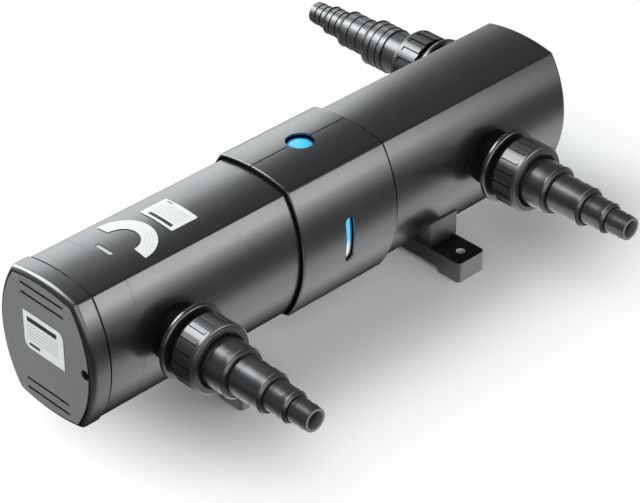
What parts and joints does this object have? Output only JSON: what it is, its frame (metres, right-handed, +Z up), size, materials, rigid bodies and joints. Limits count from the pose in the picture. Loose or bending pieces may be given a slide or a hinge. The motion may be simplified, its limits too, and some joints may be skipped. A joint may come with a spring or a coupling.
{
  "type": "pond uv clarifier",
  "caption": "Pond UV clarifier: long bowed housing on cross feet, a lamp head that draws out, a split middle collar with an indicator lens, and stepped hose tails on union nuts.",
  "frame": {"origin": "on the floor under the middle of the body, midway between the four screw holes in the feet", "axes": "+X along the body from the end cap to the closed far end, +Y away from the side with two hoses, +Z up"},
  "size_m": [0.5088, 0.4076, 0.1425],
  "materials": {
    "shell_plastic": "charcoal moulded plastic with a satin fine grain",
    "cap_plastic": "dark grey moulded plastic, matt end face",
    "fitting_plastic": "black moulded fitting plastic, half gloss",
    "foot_plastic": "black moulded plastic, satin",
    "seal_rubber": "black seal rubber",
    "label_film": "white printed film, left blank",
    "latch_plastic": "light grey moulded plastic",
    "lens_blue": "clear blue lens",
    "window_clear": "clear window lit pale blue",
    "quartz_glass": "clear quartz",
    "lamp_glass": "lamp tube glass",
    "ivory_plastic": "ivory heat-proof plastic",
    "driver_plastic": "grey moulded case",
    "screw_steel": "stainless steel"
  },
  "bodies": {
    "body": {"housing_left": "shell_plastic", "housing_right": "shell_plastic", "body_seal": "seal_rubber", "collar_front": "shell_plastic", "collar_rear": "shell_plastic", "indicator_lens": "lens_blue", "slot_window": "window_clear", "top_label": "label_film", "scale_ring": "label_film", "quartz_sleeve": "quartz_glass", "sleeve_o_ring": "seal_rubber", "sleeve_nut": "fitting_plastic", "sleeve_support": "fitting_plastic", "foot_bar_left": "foot_plastic", "foot_bar_right": "foot_plastic", "saddle_left": "foot_plastic", "saddle_right": "foot_plastic", "foot_screw_left_1": "screw_steel", "foot_screw_left_2": "screw_steel", "foot_screw_right_1": "screw_steel", "foot_screw_right_2": "screw_steel", "union_seal_left": "seal_rubber", "union_seal_right": "seal_rubber", "union_seal_rear": "seal_rubber"},
    "head": {"end_cap": "cap_plastic", "cable_gland": "seal_rubber", "end_label": "label_film", "head_shell": "shell_plastic", "head_gasket": "seal_rubber", "ballast": "driver_plastic", "lamp_holder": "ivory_plastic", "lamp_base": "ivory_plastic", "lamp_tubes": "lamp_glass", "safety_switch": "driver_plastic"},
    "latch": {"head_latch": "latch_plastic"},
    "tail_left": {"hose_tail_left": "fitting_plastic"},
    "tail_right": {"hose_tail_right": "fitting_plastic"},
    "tail_rear": {"hose_tail_rear": "fitting_plastic"},
    "nut_left": {"union_nut_left": "fitting_plastic"},
    "nut_right": {"union_nut_right": "fitting_plastic"},
    "nut_rear": {"union_nut_rear": "fitting_plastic"}
  },
  "joints": [
    {"name": "head_slide", "type": "slide", "parent": "body", "child": "head", "axis": [-1, 0, 0], "range_m": [0, 0.42]},
    {"name": "latch_press", "type": "slide", "parent": "body", "child": "latch", "axis": [0, 0, -1], "range_m": [0, 0.002], "stiffness_N_per_m": 300},
    {"name": "tail_left_slide", "type": "slide", "parent": "body", "child": "tail_left", "axis": [0, -1, 0], "range_m": [0, 0.0081]},
    {"name": "nut_left_turn", "type": "hinge", "parent": "tail_left", "child": "nut_left", "pos_m": [-0.1706, 0, 0.081], "axis": [0, -1, 0], "range_deg": [0, 1260]},
    {"name": "tail_right_slide", "type": "slide", "parent": "body", "child": "tail_right", "axis": [0, -1, 0], "range_m": [0, 0.0081]},
    {"name": "nut_right_turn", "type": "hinge", "parent": "tail_right", "child": "nut_right", "pos_m": [0.1631, 0, 0.081], "axis": [0, -1, 0], "range_deg": [0, 1260]},
    {"name": "tail_rear_slide", "type": "slide", "parent": "body", "child": "tail_rear", "axis": [0, 1, 0], "range_m": [0, 0.0081]},
    {"name": "nut_rear_turn", "type": "hinge", "parent": "tail_rear", "child": "nut_rear", "pos_m": [0.2266, 0, 0.081], "axis": [0, 1, 0], "range_deg": [0, 1260]}
  ],
  "couplings": [
    {"joint": "tail_left_slide", "follows": "nut_left_turn", "m_per_rad": 0.00036606},
    {"joint": "tail_right_slide", "follows": "nut_right_turn", "m_per_rad": 0.00036606},
    {"joint": "tail_rear_slide", "follows": "nut_rear_turn", "m_per_rad": 0.00036606}
  ]
}
